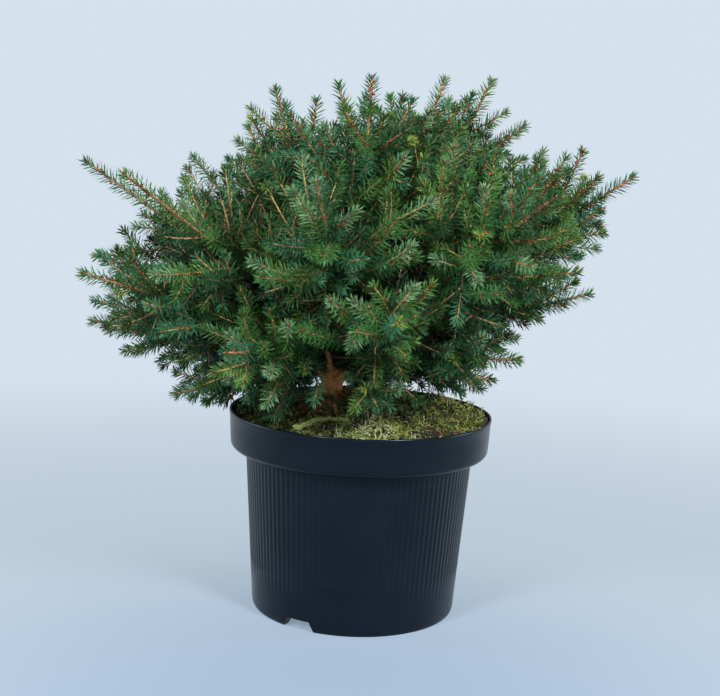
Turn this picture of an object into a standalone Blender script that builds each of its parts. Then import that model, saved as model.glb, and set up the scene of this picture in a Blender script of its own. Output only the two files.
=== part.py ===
"""A potted birds nest spruce: a low, flat-topped dwarf spruce in a black nursery pot.

The plant is a short trunk, boughs that fan out of it tier by tier, and one mass of
twigs and needle sprays at the end of each bough. Metres, +Z up. The origin is the
middle of the pot's flat underside, and the plant is seen from -Y.
"""

import math
import random

import bmesh
import bpy
from mathutils import Vector

# Driving dimensions, in metres and degrees
POT_HEIGHT = 0.171
RIM_RADIUS = 0.1125
WAIST_RADIUS = 0.0975
FOOT_RADIUS = 0.0878
COLLAR_HEIGHT = 0.033
WALL = 0.0018
FLOOR_LIFT = 0.010
GROUND = 0.182
TRUNK_FOOT = Vector((-0.030, 0.004))
TRUNK_TOP = Vector((-0.013, 0.000, 0.252))
TRUNK_RADIUS = 0.0105
TRUNK_TAPER = 0.30
FLARE = 0.006
FLARE_HEIGHT = 0.004
HEART = Vector((-0.010, 0.000, 0.222))
CLEAR = 0.0003

# Each tier of boughs: name, boughs in it, rise, reach from the heart, bearing of the
# first one, how far the tier leans to +X as a share of its reach, and the height at
# which it leaves the trunk
TIERS = (
    ("skirt", 5, -8, 0.150, 212, -0.12, 0.1985),
    ("low", 5, 6, 0.192, 248, -0.18, 0.2075),
    ("side", 5, 17, 0.238, 212, -0.10, 0.2165),
    ("shoulder", 8, 33, 0.277, 178, 0.02, 0.2260),
    ("upper", 3, 62, 0.244, 152, 0.24, 0.2425),
    ("top", 2, 74, 0.241, 12, 0.17, TRUNK_TOP.z),
)
# Every second bough of a tier with more than CROWDED of them leaves this much higher
CROWDED = 5
SEAT_STEP = 0.0075
CROWN_SEED = 7
BEARING_DRIFT = 6
RISE_DRIFT = 3
REACH_DRIFT = 0.04

# A bough runs this share of the reach, and its mass takes over from there
BOUGH_SHARE = 0.25
BOUGH_ROOT_RADIUS = 0.0034
BOUGH_TIP_RADIUS = 0.0021
BOUGH_RINGS = 5
BOUGH_SIDES = 5
# How far a bough runs straight out of the trunk, and straight into its mass, as shares
BOUGH_LEAVE = 0.35
BOUGH_ARRIVE = 0.40

# Twigs and needle sprays of a mass
STEM_RADIUS = 0.0018
SPRAY_RADIUS = 0.0165
SPRAY_CORE = 0.0016
# Each tooth sweeps forward past the next one's root, the tip takes this share of a
# tooth, and the teeth at both ends are lower than those in the middle
TOOTH_SWEEP = 1.2
TIP_SHARE = 0.85
END_TEETH = 0.72
SWELL_SPAN = 1.3
TWIG_RADIUS = 0.0013
WINGS = 3
# Each whorl on a stem: share of the reach, angle off the stem, the shoots' length as a
# share of the reach, and their teeth. Its shoots leave between the stem's own wings
WHORLS = (
    (0.31, 58, 0.33, 2),
    (0.43, 40, 0.50, 3),
    (0.69, 34, 0.27, 2),
)
SHOOT_LENGTHS = (1.0, 0.86, 0.72, 0.60, 0.50)
BARE_TWIG = 0.012
WHORL_STEP = 0.0045
WHORL_TURN_DRIFT = 0.10
WHORL_SPREAD_DRIFT = 6
ROLL_SPAN = 2
LIMB_ROOM = 0.001
LIMB_STEPS = 5
LEADER_TEETH = 5
LEADER_BARE_SHARE = 0.04
# How far side shoots end from the heart, at the crown's foot and high up, how far that
# leans to +X, the two rises between which it goes from one to the other, and how many
# degrees higher it does so on the +X side
EDGE_FOOT = 0.152
EDGE_TOP = 0.240
EDGE_FOOT_LEAN = -0.20
EDGE_TOP_LEAN = 0.14
EDGE_RISES = (-12, 24)
EDGE_RIGHT_DROP = 6
# The gap in front of the trunk: its middle, half its width, and how its floor and its
# ceiling rise towards the front
WINDOW_MIDDLE = -0.026
WINDOW_HALF = 0.015
WINDOW_FLOOR = 0.186
WINDOW_CEILING = 0.218
WINDOW_RISE = 0.17
WINDOW_START = -0.012
# How the crown's underside clears the soil and the pot, its rise past the rim, and how
# much higher it is at the front, where the soil shows: from this far out, over this far
SOIL_GAP = 0.002
RIM_GAP = 0.008
RIM_STRIP = 0.015
UNDERSIDE_RISE = 0.40
FRONT_LIFT = 0.010
FRONT_START = 0.030
FRONT_SPAN = 0.050
# Shares of a shoot's length at which its valleys are deepest: clear of the whorls
LEADER_DIPS = (0.03, 0.32, 0.72)
SHOOT_DIPS = (0.40,)


def clear_scene():
    for thing in list(bpy.data.objects):
        bpy.data.objects.remove(thing)


def plain_material(name, colour, roughness, metallic=0.0):
    """A Principled material with one colour."""
    material = bpy.data.materials.new(name)
    material.use_nodes = True
    shader = material.node_tree.nodes["Principled BSDF"]
    shader.inputs["Base Color"].default_value = (*colour, 1.0)
    shader.inputs["Roughness"].default_value = roughness
    shader.inputs["Metallic"].default_value = metallic
    return material


def new_object(name, points, faces, material):
    """One closed mesh, its faces turned outwards."""
    mesh = bpy.data.meshes.new(name)
    mesh.from_pydata([tuple(p) for p in points], [], faces)
    shape = bmesh.new()
    shape.from_mesh(mesh)
    bmesh.ops.recalc_face_normals(shape, faces=shape.faces)
    shape.to_mesh(mesh)
    shape.free()
    mesh.materials.append(material)
    thing = bpy.data.objects.new(name, mesh)
    bpy.context.scene.collection.objects.link(thing)
    return thing


def turned(name, profile, segments, material):
    """A solid of revolution about Z. The profile's ends lie on the axis."""
    points = []
    rings = []
    for radius, height in profile:
        if radius == 0:
            rings.append([len(points)])
            points.append((0, 0, height))
            continue
        rings.append(list(range(len(points), len(points) + segments)))
        for k in range(segments):
            angle = 2 * math.pi * k / segments
            points.append((radius * math.cos(angle), radius * math.sin(angle), height))
    faces = []
    for low, high in zip(rings, rings[1:]):
        for k in range(segments):
            after = (k + 1) % segments
            if len(low) == 1:
                faces.append((low[0], high[after], high[k]))
            elif len(high) == 1:
                faces.append((low[k], low[after], high[0]))
            else:
                faces.append((low[k], low[after], high[after], high[k]))
    return new_object(name, points, faces, material)


def across(direction):
    """Two unit vectors square to a direction and to each other."""
    helper = Vector((0, 0, 1)) if abs(direction.z) < 0.9 else Vector((1, 0, 0))
    side = direction.cross(helper).normalized()
    return side, direction.cross(side)


def ring_faces(rings, sides):
    """Faces of a closed tube whose points are listed ring by ring."""
    faces = []
    for k in range(rings - 1):
        for j in range(sides):
            after = (j + 1) % sides
            low = k * sides
            faces.append((low + j, low + after, low + sides + after, low + sides + j))
    faces.append(tuple(reversed(range(sides))))
    faces.append(tuple(range((rings - 1) * sides, rings * sides)))
    return faces


def tube(path, radii, sides):
    """Points and faces of a closed limb along a path, its rings kept untwisted."""
    points = []
    side, _ = across((path[1] - path[0]).normalized())
    for k, (centre, radius) in enumerate(zip(path, radii)):
        ahead = path[min(k + 1, len(path) - 1)] - path[max(k - 1, 0)]
        along = ahead.normalized()
        side = (side - along * side.dot(along)).normalized()
        other = along.cross(side)
        for j in range(sides):
            angle = 2 * math.pi * j / sides
            points.append(centre + radius * (math.cos(angle) * side + math.sin(angle) * other))
    return points, ring_faces(len(path), sides)


def bezier(start, leave, arrive, end, count):
    """Points along a cubic curve."""
    found = []
    for k in range(count):
        t = k / (count - 1)
        s = 1 - t
        found.append(s**3 * start + 3 * s * s * t * leave + 3 * s * t * t * arrive + t**3 * end)
    return found


def unit(bearing, rise):
    """A direction from its bearing about Z and its rise, in degrees."""
    turn = math.radians(bearing)
    lift = math.radians(rise)
    flat = math.cos(lift)
    return Vector((flat * math.cos(turn), flat * math.sin(turn), math.sin(lift)))


def smooth(share):
    share = min(1.0, max(0.0, share))
    return share * share * (3 - 2 * share)


# Pot

SEGMENTS = 36
FILLET = 0.009
FILLET_DEPTH = 0.18
LIP = 0.0035
LIP_STEP = 0.0006
COLLAR_CORNER = 0.005
COLLAR_DRAFT = 0.0022
COLLAR_SILL = 0.001
# Inside, the collar's sloping shoulder starts and ends this far over the collar's foot
SHOULDER_FOOT = 0.002
SHOULDER_TOP = 0.006
PAD_RADIUS = 0.045
FOOT_RING = 0.0075
CHANNEL_DRAFT = 0.003
FLOOR_SKIN = 0.002
INSIDE = FLOOR_LIFT + FLOOR_SKIN
CORNER = 0.004
COLLAR_TOP = POT_HEIGHT
COLLAR_FOOT = POT_HEIGHT - COLLAR_HEIGHT
NOTCH_BEARINGS = (240, 0, 120)
NOTCH_WIDTH = 0.029
NOTCH_HEIGHT = 0.0085
NOTCH_TOP_SHARE = 0.72
CUT_PAST = 0.010


def pot_outside(height):
    """Radius of the pot's outer wall under the collar."""
    return FOOT_RADIUS + (WAIST_RADIUS - FOOT_RADIUS) * height / COLLAR_FOOT


def pot_profile():
    """Half section of the pot from the underside's middle, round the outside, to the inside."""
    channel = pot_outside(0) - FOOT_RING
    profile = [
        (0, 0),
        (PAD_RADIUS, 0),
        (PAD_RADIUS + CHANNEL_DRAFT, FLOOR_LIFT),
        (channel - CHANNEL_DRAFT, FLOOR_LIFT),
        (channel, 0),
    ]
    steps = 4
    for k in range(steps + 1):
        turn = math.radians(90 * k / steps)
        radius = pot_outside(FILLET) - FILLET * FILLET_DEPTH * (1 - math.sin(turn))
        profile.append((radius, FILLET * (1 - math.cos(turn))))
    inner_floor = pot_outside(FLOOR_LIFT) - WALL - FLOOR_SKIN
    profile += [
        (pot_outside(COLLAR_FOOT), COLLAR_FOOT),
        (RIM_RADIUS - COLLAR_CORNER - COLLAR_SILL, COLLAR_FOOT + COLLAR_SILL),
        (RIM_RADIUS - COLLAR_DRAFT, COLLAR_FOOT + COLLAR_CORNER),
        (RIM_RADIUS - LIP_STEP, COLLAR_TOP - LIP),
        (RIM_RADIUS, COLLAR_TOP - LIP * 0.7),
        (RIM_RADIUS, COLLAR_TOP),
        (RIM_RADIUS - WALL, COLLAR_TOP),
        (RIM_RADIUS - WALL * 2, COLLAR_FOOT + SHOULDER_TOP),
        (pot_outside(COLLAR_FOOT) - WALL, COLLAR_FOOT + SHOULDER_FOOT),
        (inner_floor, INSIDE + CORNER),
        (inner_floor - CORNER, INSIDE),
        (0, INSIDE),
    ]
    return profile


def make_notch_cutter(name, bearing, material):
    """A bar with a trapezoid section that runs out through the foot ring."""
    mouth = unit(bearing, 0)
    side = Vector((-mouth.y, mouth.x, 0))
    half_foot = NOTCH_WIDTH / 2
    half_top = half_foot * NOTCH_TOP_SHARE
    points = []
    for reach in (FOOT_RADIUS - FOOT_RING - CUT_PAST, FOOT_RADIUS + CUT_PAST):
        for half, height in ((half_foot, -CUT_PAST), (half_foot, 0.0), (half_top, NOTCH_HEIGHT)):
            for turn in (1, -1):
                points.append(mouth * reach + side * half * turn + Vector((0, 0, height)))
    ring = (0, 2, 4, 5, 3, 1)
    faces = [ring, tuple(len(ring) + k for k in reversed(ring))]
    for a, b in zip(ring, ring[1:] + ring[:1]):
        faces.append((b, a, a + len(ring), b + len(ring)))
    cutter = new_object(name, points, faces, material)
    cutter.hide_render = True
    cutter.display_type = "WIRE"
    return cutter


def make_pot(material):
    """Black nursery pot: a collar, a tapered wall, and drainage notches in its foot ring."""
    pot = turned("pot", pot_profile(), SEGMENTS, material)
    for k, bearing in enumerate(NOTCH_BEARINGS):
        cut = pot.modifiers.new(f"notch_{k + 1}", "BOOLEAN")
        cut.operation = "DIFFERENCE"
        cut.object = make_notch_cutter(f"notch_cutter_{k + 1}", bearing, material)
    pot.data.shade_smooth()
    pot.data.set_sharp_from_angle(angle=math.radians(35))
    return pot


# Soil

SOIL_EDGE = 0.160
# The mound falls from this share of the rim's radius out to the rim
MOUND_START = 0.22
LUMP = 0.0016
RIPPLE = 0.0009
# The lumps die out over the second of these widths, round the first
LEVEL_RADIUS = 0.020
LEVEL_FADE = 0.020
BED_RINGS = (1.0, 0.88, 0.72, 0.55, 0.38, 0.2)
SOIL_CLEAR = 0.0006


def soil_height(x, y):
    """Height of the mossy soil: a mound about the trunk, level under the trunk itself."""
    away = math.hypot(x - TRUNK_FOOT.x, y - TRUNK_FOOT.y)
    edge = math.hypot(x, y) / RIM_RADIUS
    level = smooth((away - LEVEL_RADIUS) / LEVEL_FADE)
    lumps = LUMP * math.sin(95 * x + 2) * math.sin(110 * y) + RIPPLE * math.sin(230 * x - 170 * y)
    mound = GROUND + (SOIL_EDGE - GROUND) * smooth((edge - MOUND_START) / (1 - MOUND_START))
    return mound + level * lumps


def make_soil(material):
    """The filled inside of the pot, mounded up to the trunk."""
    inner = pot_outside(FLOOR_LIFT) - WALL - FLOOR_SKIN
    edge = RIM_RADIUS - WALL - SOIL_CLEAR * 1.5
    rings = [
        (inner - CORNER - SOIL_CLEAR, INSIDE + CLEAR),
        (inner - SOIL_CLEAR, INSIDE + CORNER + CLEAR),
        (pot_outside(COLLAR_FOOT) - WALL - SOIL_CLEAR, COLLAR_FOOT + SHOULDER_FOOT + CLEAR),
        (RIM_RADIUS - WALL * 2 - SOIL_CLEAR, COLLAR_FOOT + SHOULDER_TOP + CLEAR),
    ]
    points = [(0, 0, INSIDE + CLEAR)]
    for radius, height in rings:
        for k in range(SEGMENTS):
            angle = 2 * math.pi * k / SEGMENTS
            points.append((radius * math.cos(angle), radius * math.sin(angle), height))
    for share in BED_RINGS:
        for k in range(SEGMENTS):
            angle = 2 * math.pi * k / SEGMENTS
            x = edge * share * math.cos(angle)
            y = edge * share * math.sin(angle)
            points.append((x, y, soil_height(x, y)))
    points.append((0, 0, soil_height(0, 0)))
    steps = len(rings) + len(BED_RINGS) - 1
    last = 1 + steps * SEGMENTS
    faces = []
    for k in range(SEGMENTS):
        after = (k + 1) % SEGMENTS
        faces.append((0, 1 + after, 1 + k))
        for ring in range(steps):
            low = 1 + ring * SEGMENTS
            faces.append((low + k, low + after, low + SEGMENTS + after, low + SEGMENTS + k))
        faces.append((last + k, last + after, len(points) - 1))
    return new_object("soil", points, faces, material)


# Trunk and boughs

TRUNK_SIDES = 16
# How far the trunk bows out of the straight line between its ends
TRUNK_BOW = 0.003
BARK_SLACK = 0.0001
TRUNK_HEIGHTS = (
    GROUND + CLEAR,
    GROUND + 0.003,
    GROUND + 0.007,
    GROUND + 0.014,
    GROUND + 0.026,
    GROUND + 0.040,
    GROUND + 0.055,
    TRUNK_TOP.z,
)


def trunk_middle(height):
    """Centre of the trunk at a height: it leans and straightens as it rises."""
    share = (height - GROUND) / (TRUNK_TOP.z - GROUND)
    lean = math.sin(0.5 * math.pi * share)
    x = TRUNK_FOOT.x + (TRUNK_TOP.x - TRUNK_FOOT.x) * lean
    y = TRUNK_FOOT.y + (TRUNK_TOP.y - TRUNK_FOOT.y) * lean
    return Vector((x, y, height))


def trunk_radius(height):
    """The trunk tapers to its fork and flares over its last centimetre."""
    share = (height - GROUND) / (TRUNK_TOP.z - GROUND)
    flare = FLARE * math.exp(-(height - GROUND) / FLARE_HEIGHT)
    return TRUNK_RADIUS * (1 - TRUNK_TAPER * share) + flare


def make_trunk(material):
    """Level rings from the flat cut at the ground to the flat top that two boughs stand on."""
    points = []
    for height in TRUNK_HEIGHTS:
        for k in range(TRUNK_SIDES):
            angle = 2 * math.pi * k / TRUNK_SIDES
            out = Vector((math.cos(angle), math.sin(angle), 0))
            points.append(trunk_middle(height) + trunk_radius(height) * out)
    return new_object("trunk", points, ring_faces(len(TRUNK_HEIGHTS), TRUNK_SIDES), material)


def crown_plan():
    """Every bough's name, direction, reach and root height, tier by tier."""
    chance = random.Random(CROWN_SEED)
    plan = []
    for tier, count, rise, reach, first, lean, height in TIERS:
        for k in range(count):
            bearing = first + 360 * k / count + chance.uniform(-BEARING_DRIFT, BEARING_DRIFT)
            direction = unit(bearing, rise + chance.uniform(-RISE_DRIFT, RISE_DRIFT))
            length = reach * (1 + lean * direction.x + chance.uniform(-REACH_DRIFT, REACH_DRIFT))
            seat = height + (SEAT_STEP if count > CROWDED and k % 2 else 0)
            plan.append((f"{tier}_{k + 1}", direction, length, seat))
    return plan


def bough_seat(direction, height):
    """Where a bough meets the trunk's skin, and the way that the skin faces there."""
    level = Vector((direction.x, direction.y, 0)).normalized()
    if height >= TRUNK_TOP.z:
        up = Vector((0, 0, 1))
        return TRUNK_TOP + level * (BOUGH_ROOT_RADIUS + CLEAR) + up * CLEAR, up
    below = height - BOUGH_ROOT_RADIUS
    above = height + BOUGH_ROOT_RADIUS
    rise = trunk_middle(above) - trunk_middle(below)
    rise += level * (trunk_radius(above) - trunk_radius(below))
    facing = (level - rise * level.dot(rise) / rise.length_squared).normalized()
    skin = trunk_middle(height) + level * trunk_radius(height)
    return skin + facing * (CLEAR + BARK_SLACK), facing


def bough_path(direction, reach, height):
    """A bough's centre line, from the trunk's skin to where its mass begins."""
    start, facing = bough_seat(direction, height)
    end = HEART + direction * reach * BOUGH_SHARE
    span = (end - start).length
    leave = start + facing * span * BOUGH_LEAVE
    return bezier(start, leave, end - direction * span * BOUGH_ARRIVE, end, BOUGH_RINGS)


def make_bough(name, direction, reach, height, material):
    """One tapering limb with flat ends: one faces the trunk, the other its mass."""
    path = bough_path(direction, reach, height)
    radii = []
    for k in range(BOUGH_RINGS):
        share = k / (BOUGH_RINGS - 1)
        radii.append(BOUGH_ROOT_RADIUS + (BOUGH_TIP_RADIUS - BOUGH_ROOT_RADIUS) * share)
    points, faces = tube(path, radii, BOUGH_SIDES)
    _, facing = bough_seat(direction, height)
    for point in points[:BOUGH_SIDES]:
        point -= facing * (point - path[0]).dot(facing)
    for point in points[-BOUGH_SIDES:]:
        point -= direction * (point - path[-1]).dot(direction)
    return new_object(f"bough_{name}", points, faces, material)


# Masses


def space_of(index, plan):
    """The planes that bound one mass's space: half way to each other bough's direction."""
    own = plan[index][1]
    planes = []
    for k, (_, other, _, _) in enumerate(plan):
        if k != index:
            planes.append((own - other).normalized())
    return planes


def crown_underside(point):
    """The lowest that foliage hangs: over the soil inside the pot, and rising outside it."""
    away = math.hypot(point.x, point.y)
    lift = FRONT_LIFT * smooth((-point.y - FRONT_START) / FRONT_SPAN)
    if away < RIM_RADIUS - RIM_STRIP:
        return soil_height(point.x, point.y) + SOIL_GAP + lift
    return POT_HEIGHT + RIM_GAP + lift + UNDERSIDE_RISE * max(0.0, away - RIM_RADIUS - RIM_STRIP)


def crown_edge(out):
    """How far a side shoot may end from the heart, in the direction of out."""
    rise = math.degrees(math.asin(out.z / out.length))
    rise -= EDGE_RIGHT_DROP * max(0.0, out.x / out.length)
    share = smooth((rise - EDGE_RISES[0]) / (EDGE_RISES[1] - EDGE_RISES[0]))
    lean = EDGE_FOOT_LEAN + (EDGE_TOP_LEAN - EDGE_FOOT_LEAN) * share
    return (EDGE_FOOT + (EDGE_TOP - EDGE_FOOT) * share) * (1 + lean * out.x / out.length)


def in_window(point):
    """Whether a point is in the gap between two front boughs where the trunk shows."""
    if point.y > WINDOW_START or abs(point.x - WINDOW_MIDDLE) > WINDOW_HALF:
        return False
    return WINDOW_FLOOR < point.z + WINDOW_RISE * point.y < WINDOW_CEILING


def in_space(points, planes):
    """Whether all points keep to the space, over the soil and clear of the pot."""
    for point in points:
        out = point - HEART
        for plane in planes:
            if out.dot(plane) < CLEAR / 2:
                return False
        if point.z < crown_underside(point) or in_window(point):
            return False
    return True


def nearest(point, path):
    """Distance from a point to a path."""
    best = math.inf
    for a, b in zip(path, path[1:]):
        run = b - a
        share = min(1.0, max(0.0, (point - a).dot(run) / run.length_squared))
        best = min(best, (point - a - run * share).length)
    return best


def spray(root, tip, thick, bare, teeth, roll, dips):
    """A shoot as one closed shape: a bare three-sided root, then wings of swept needles.

    The wings meet along the shoot, and dips are the shares of its length at which the
    valleys between them are deepest.
    """
    along = tip - root
    length = along.length
    along.normalize()
    side, other = across(along)
    pitch = (length - bare) / (teeth + TIP_SHARE)
    outline = [(0, thick)]
    for k in range(teeth):
        share = (k + 0.5) / teeth
        swell = END_TEETH + (1 - END_TEETH) * math.sin(math.pi * min(1.0, share * SWELL_SPAN))
        outline.append((bare + k * pitch, SPRAY_CORE))
        outline.append((bare + (k + TOOTH_SWEEP) * pitch, SPRAY_RADIUS * swell))
    outline.append((bare + teeth * pitch, SPRAY_CORE))
    points = []
    for wing in range(WINGS):
        angle = roll + 2 * math.pi * wing / WINGS
        out = math.cos(angle) * side + math.sin(angle) * other
        for reach, radius in outline:
            points.append(root + along * reach + out * radius)
    tip_point = len(points)
    points.append(tip)
    faces = [tuple(wing * len(outline) for wing in reversed(range(WINGS)))]
    for wing in range(WINGS):
        angle = roll + 2 * math.pi * (wing + 0.5) / WINGS
        valley = math.cos(angle) * side + math.sin(angle) * other
        first_dip = len(points)
        for dip in dips:
            points.append(root + along * length * dip + valley * SPRAY_CORE)
        here = wing * len(outline)
        there = (wing + 1) % WINGS * len(outline)
        nearest_dip = []
        for reach, _ in outline:
            nearest_dip.append(min(range(len(dips)), key=lambda d: abs(dips[d] * length - reach)))
        for k in range(len(outline) - 1):
            dip, after = nearest_dip[k], nearest_dip[k + 1]
            faces.append((here + k + 1, here + k, first_dip + dip))
            faces.append((there + k, there + k + 1, first_dip + dip))
            if after != dip:
                faces.append((here + k + 1, first_dip + dip, first_dip + after))
                faces.append((first_dip + dip, there + k + 1, first_dip + after))
        last = len(outline) - 1
        faces.append((here, there, first_dip))
        faces.append((tip_point, here + last, first_dip + len(dips) - 1))
        faces.append((there + last, tip_point, first_dip + len(dips) - 1))
    return points, faces


def mass_shapes(index, plan, limbs):
    """A mass's stem and side shoots, as closed shapes that overlap at their roots."""
    _, direction, reach, _ = plan[index]
    chance = random.Random(CROWN_SEED * 100 + index)
    planes = space_of(index, plan)
    begin = HEART + direction * (reach * BOUGH_SHARE + CLEAR)
    tip = HEART + direction * reach
    leader_roll = chance.uniform(0, ROLL_SPAN)
    bare = reach * LEADER_BARE_SHARE
    shapes = [spray(begin, tip, STEM_RADIUS, bare, LEADER_TEETH, leader_roll, LEADER_DIPS)]
    side, other = across(direction)
    for share, spread, length, teeth in WHORLS:
        for wing in range(WINGS):
            root = HEART + direction * (reach * share + (wing - 1) * WHORL_STEP)
            drift = chance.uniform(-WHORL_TURN_DRIFT, WHORL_TURN_DRIFT)
            angle = leader_roll + 2 * math.pi * (wing + 0.5 + drift) / WINGS
            out = math.cos(angle) * side + math.sin(angle) * other
            tilt = math.radians(spread + chance.uniform(-WHORL_SPREAD_DRIFT, WHORL_SPREAD_DRIFT))
            heading = math.cos(tilt) * direction + math.sin(tilt) * out
            roll = chance.uniform(0, ROLL_SPAN)
            for trim in SHOOT_LENGTHS:
                end = root + heading * reach * length * trim
                if (end - HEART).length > crown_edge(end - HEART):
                    continue
                shape = spray(root, end, TWIG_RADIUS, BARE_TWIG, teeth, roll, SHOOT_DIPS)
                if in_space(shape[0], planes) and clear_of_limbs(root, end, limbs, index):
                    shapes.append(shape)
                    break
    return shapes


def clear_of_limbs(root, end, limbs, index):
    """Whether a shoot keeps off the trunk and every bough but its own."""
    for k, (path, radius) in enumerate(limbs):
        for step in range(LIMB_STEPS + 1):
            point = root.lerp(end, step / LIMB_STEPS)
            room = radius + LIMB_ROOM + (0.0 if k == index and step < 2 else SPRAY_RADIUS)
            if nearest(point, path) < room:
                return False
    return True


def keep_largest_shell(mesh):
    """Fill any hollow that the join sealed, and drop any loose scrap."""
    shape = bmesh.new()
    shape.from_mesh(mesh)
    shells = []
    left = set(shape.verts)
    while left:
        found = {left.pop()}
        edge = list(found)
        while edge:
            vert = edge.pop()
            for link in vert.link_edges:
                other = link.other_vert(vert)
                if other not in found:
                    found.add(other)
                    edge.append(other)
        left -= found
        shells.append(found)
    largest = max(shells, key=len)
    spare = [vert for shell in shells if shell is not largest for vert in shell]
    bmesh.ops.delete(shape, geom=spare, context="VERTS")
    shape.to_mesh(mesh)
    shape.free()


def make_mass(name, shapes, material):
    """Join one mass's shapes into a single solid."""
    group = bpy.data.collections.new(f"{name}_shapes")
    bpy.context.scene.collection.children.link(group)
    base = new_object(name, *shapes[0], material)
    for points, faces in shapes[1:]:
        piece = new_object(f"{name}_shape", points, faces, material)
        bpy.context.scene.collection.objects.unlink(piece)
        group.objects.link(piece)
    join = base.modifiers.new("join", "BOOLEAN")
    join.operation = "UNION"
    join.operand_type = "COLLECTION"
    join.collection = group
    bpy.context.view_layer.update()
    joined = bpy.data.meshes.new_from_object(base.evaluated_get(bpy.context.evaluated_depsgraph_get()))
    base.modifiers.clear()
    base.data = joined
    keep_largest_shell(joined)
    for piece in list(group.objects):
        bpy.data.objects.remove(piece)
    bpy.data.collections.remove(group)
    return base


def main():
    clear_scene()
    plastic = plain_material("pot plastic", (0.022, 0.030, 0.040), 0.38)
    moss = plain_material("mossy soil", (0.115, 0.120, 0.030), 0.95)
    bark = plain_material("bark", (0.190, 0.095, 0.045), 0.85)
    needles = plain_material("needles", (0.035, 0.120, 0.050), 0.55)
    make_pot(plastic)
    make_soil(moss)
    make_trunk(bark)
    plan = crown_plan()
    limbs = []
    for name, direction, reach, height in plan:
        make_bough(name, direction, reach, height, bark)
        limbs.append((bough_path(direction, reach, height), BOUGH_ROOT_RADIUS))
    limbs.append(([trunk_middle(GROUND), trunk_middle(TRUNK_TOP.z)], TRUNK_RADIUS + TRUNK_BOW))
    for index, (name, _, _, _) in enumerate(plan):
        make_mass(f"mass_{name}", mass_shapes(index, plan, limbs), needles)


main()
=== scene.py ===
import math
import random

import bpy
import numpy as np
from mathutils import Matrix, Vector, noise


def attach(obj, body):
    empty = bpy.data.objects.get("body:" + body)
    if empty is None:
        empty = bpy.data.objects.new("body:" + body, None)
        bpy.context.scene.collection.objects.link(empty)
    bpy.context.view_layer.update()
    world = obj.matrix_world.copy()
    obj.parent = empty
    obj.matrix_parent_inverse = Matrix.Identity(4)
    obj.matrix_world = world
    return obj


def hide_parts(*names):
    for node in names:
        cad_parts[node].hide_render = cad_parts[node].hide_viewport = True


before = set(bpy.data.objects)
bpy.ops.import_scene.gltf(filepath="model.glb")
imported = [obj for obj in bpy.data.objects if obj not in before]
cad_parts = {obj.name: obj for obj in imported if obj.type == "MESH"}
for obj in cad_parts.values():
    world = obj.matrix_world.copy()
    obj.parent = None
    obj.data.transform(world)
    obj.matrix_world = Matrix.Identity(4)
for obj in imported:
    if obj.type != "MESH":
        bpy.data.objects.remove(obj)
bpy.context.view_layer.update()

# Pot
# A round nursery pot, injection moulded in black polypropylene. Its wall tapers to a foot
# ring with three drainage notches, fine ribs run up it, and a deep collar with a thin lip
# stiffens the mouth.

POT_HEIGHT = 0.171
RIM_RADIUS = 0.1125
WAIST_RADIUS = 0.0975
FOOT_RADIUS = 0.0878
COLLAR_HEIGHT = 0.033
COLLAR_FOOT = POT_HEIGHT - COLLAR_HEIGHT
WALL = 0.0018
FLOOR_LIFT = 0.010
FLOOR_SKIN = 0.002
FILLET = 0.009
FILLET_DEPTH = 0.18
PAD_RADIUS = 0.045
FOOT_RING = 0.0075
CHANNEL_DRAFT = 0.003
NOTCH_BEARINGS = (240, 0, 120)
NOTCH_WIDTH = 0.029
NOTCH_HEIGHT = 0.0085
NOTCH_TOP_SHARE = 0.72
CUT_PAST = 0.010
RIB_COUNT = 114
RIB_COLUMNS = 6
RIB_DEPTH = 0.0005
RIB_FOOT = 0.026
RIDGE_HEIGHT = 0.0405
RIB_TOP = COLLAR_FOOT - 0.005
RIDGE = 0.00015
PLASTIC_BLACK = (0.0018, 0.0034, 0.0062)
PLASTIC_DUST = (0.020, 0.034, 0.050)
SHEEN_TINT = (0.70, 0.88, 1.0, 1.0)


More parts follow.
